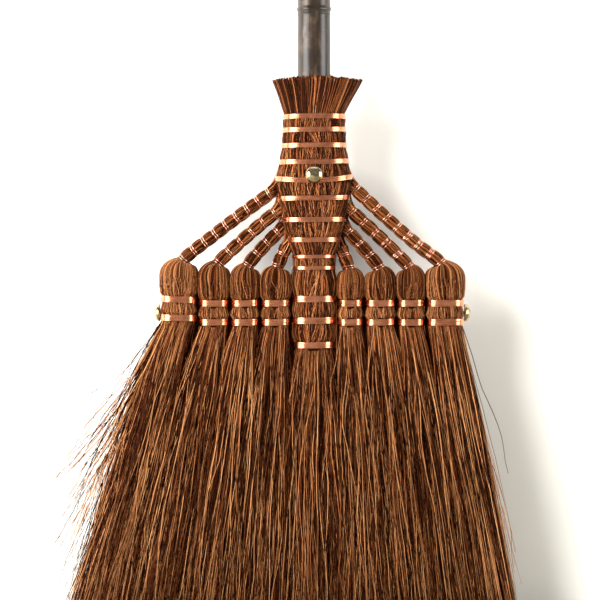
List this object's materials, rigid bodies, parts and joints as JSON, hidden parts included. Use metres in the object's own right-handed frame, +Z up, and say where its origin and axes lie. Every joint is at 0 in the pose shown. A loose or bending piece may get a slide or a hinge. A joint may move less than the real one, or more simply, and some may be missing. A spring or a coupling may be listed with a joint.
{
  "type": "long-handled palm-fibre broom",
  "caption": "Long-handled palm-fibre broom: copper-bound tufts in a row joined by necks to a flared stock on a bamboo pole, with flexing bristle skirts and a hanging cord.",
  "frame": {"origin": "on the floor under the pole's axis, in the middle of the trimmed bristle tips", "axes": "+Z up the pole, +X along the row of tufts to the right as seen from the front, -Y towards the viewer"},
  "size_m": [0.33, 0.0499, 1.3646],
  "materials": {
    "palm_fibre": "coarse reddish-brown palm fibre, matt with a faint sheen along each strand",
    "copper_wire": "bright fine copper wire, wound in close flat turns",
    "brass": "polished yellow brass",
    "black_bamboo": "glossy mottled black bamboo",
    "pale_bamboo": "split pale bamboo, unvarnished",
    "cotton_cord": "dark braided cotton cord"
  },
  "bodies": {
    "head": {"handle_pole": "black_bamboo", "handle_nail": "brass", "cross_skewer": "pale_bamboo", "side_nail_left": "brass", "side_nail_right": "brass", "centre_stock": "palm_fibre", "centre_neck_wire": "copper_wire", "centre_band_upper": "copper_wire", "centre_band_middle": "copper_wire", "centre_band_lower": "copper_wire", "stock_band_1": "copper_wire", "stock_band_2": "copper_wire", "stock_band_3": "copper_wire", "stock_band_4": "copper_wire", "stock_band_5": "copper_wire", "stock_band_6": "copper_wire", "stock_band_7": "copper_wire", "stock_band_8": "copper_wire", "left_1_crown": "palm_fibre", "left_1_neck_wire": "copper_wire", "left_1_band_upper": "copper_wire", "left_1_band_lower": "copper_wire", "left_2_crown": "palm_fibre", "left_2_neck_wire": "copper_wire", "left_2_band_upper": "copper_wire", "left_2_band_lower": "copper_wire", "left_3_crown": "palm_fibre", "left_3_neck_wire": "copper_wire", "left_3_band_upper": "copper_wire", "left_3_band_lower": "copper_wire", "left_4_crown": "palm_fibre", "left_4_neck_wire": "copper_wire", "left_4_band_upper": "copper_wire", "left_4_band_lower": "copper_wire", "right_1_crown": "palm_fibre", "right_1_neck_wire": "copper_wire", "right_1_band_upper": "copper_wire", "right_1_band_lower": "copper_wire", "right_2_crown": "palm_fibre", "right_2_neck_wire": "copper_wire", "right_2_band_upper": "copper_wire", "right_2_band_lower": "copper_wire", "right_3_crown": "palm_fibre", "right_3_neck_wire": "copper_wire", "right_3_band_upper": "copper_wire", "right_3_band_lower": "copper_wire", "right_4_crown": "palm_fibre", "right_4_neck_wire": "copper_wire", "right_4_band_upper": "copper_wire", "right_4_band_lower": "copper_wire"},
    "left_4_bristles": {"left_4_skirt": "palm_fibre"},
    "left_3_bristles": {"left_3_skirt": "palm_fibre"},
    "left_2_bristles": {"left_2_skirt": "palm_fibre"},
    "left_1_bristles": {"left_1_skirt": "palm_fibre"},
    "centre_bristles": {"centre_skirt": "palm_fibre"},
    "right_1_bristles": {"right_1_skirt": "palm_fibre"},
    "right_2_bristles": {"right_2_skirt": "palm_fibre"},
    "right_3_bristles": {"right_3_skirt": "palm_fibre"},
    "right_4_bristles": {"right_4_skirt": "palm_fibre"},
    "cord": {"hanging_cord": "cotton_cord"}
  },
  "joints": [
    {"name": "left_4_flex", "type": "hinge", "parent": "head", "child": "left_4_bristles", "pos_m": [-0.0986, 0, 0.1925], "axis": [1, 0, 0], "range_deg": [-25, 25], "stiffness_Nm_per_rad": 0.6},
    {"name": "left_3_flex", "type": "hinge", "parent": "head", "child": "left_3_bristles", "pos_m": [-0.073, 0, 0.1925], "axis": [1, 0, 0], "range_deg": [-25, 25], "stiffness_Nm_per_rad": 0.6},
    {"name": "left_2_flex", "type": "hinge", "parent": "head", "child": "left_2_bristles", "pos_m": [-0.0503, 0, 0.1925], "axis": [1, 0, 0], "range_deg": [-25, 25], "stiffness_Nm_per_rad": 0.6},
    {"name": "left_1_flex", "type": "hinge", "parent": "head", "child": "left_1_bristles", "pos_m": [-0.0279, 0, 0.1925], "axis": [1, 0, 0], "range_deg": [-25, 25], "stiffness_Nm_per_rad": 0.6},
    {"name": "centre_flex", "type": "hinge", "parent": "head", "child": "centre_bristles", "pos_m": [0, 0, 0.1758], "axis": [1, 0, 0], "range_deg": [-25, 25], "stiffness_Nm_per_rad": 0.6},
    {"name": "right_1_flex", "type": "hinge", "parent": "head", "child": "right_1_bristles", "pos_m": [0.0265, 0, 0.1925], "axis": [1, 0, 0], "range_deg": [-25, 25], "stiffness_Nm_per_rad": 0.6},
    {"name": "right_2_flex", "type": "hinge", "parent": "head", "child": "right_2_bristles", "pos_m": [0.0483, 0, 0.1925], "axis": [1, 0, 0], "range_deg": [-25, 25], "stiffness_Nm_per_rad": 0.6},
    {"name": "right_3_flex", "type": "hinge", "parent": "head", "child": "right_3_bristles", "pos_m": [0.0707, 0, 0.1925], "axis": [1, 0, 0], "range_deg": [-25, 25], "stiffness_Nm_per_rad": 0.6},
    {"name": "right_4_flex", "type": "hinge", "parent": "head", "child": "right_4_bristles", "pos_m": [0.0956, 0, 0.1925], "axis": [1, 0, 0], "range_deg": [-25, 25], "stiffness_Nm_per_rad": 0.6},
    {"name": "cord_swing", "type": "hinge", "parent": "head", "child": "cord", "pos_m": [0, 0, 1.262], "axis": [1, 0, 0], "range_deg": [-165, 165]}
  ]
}
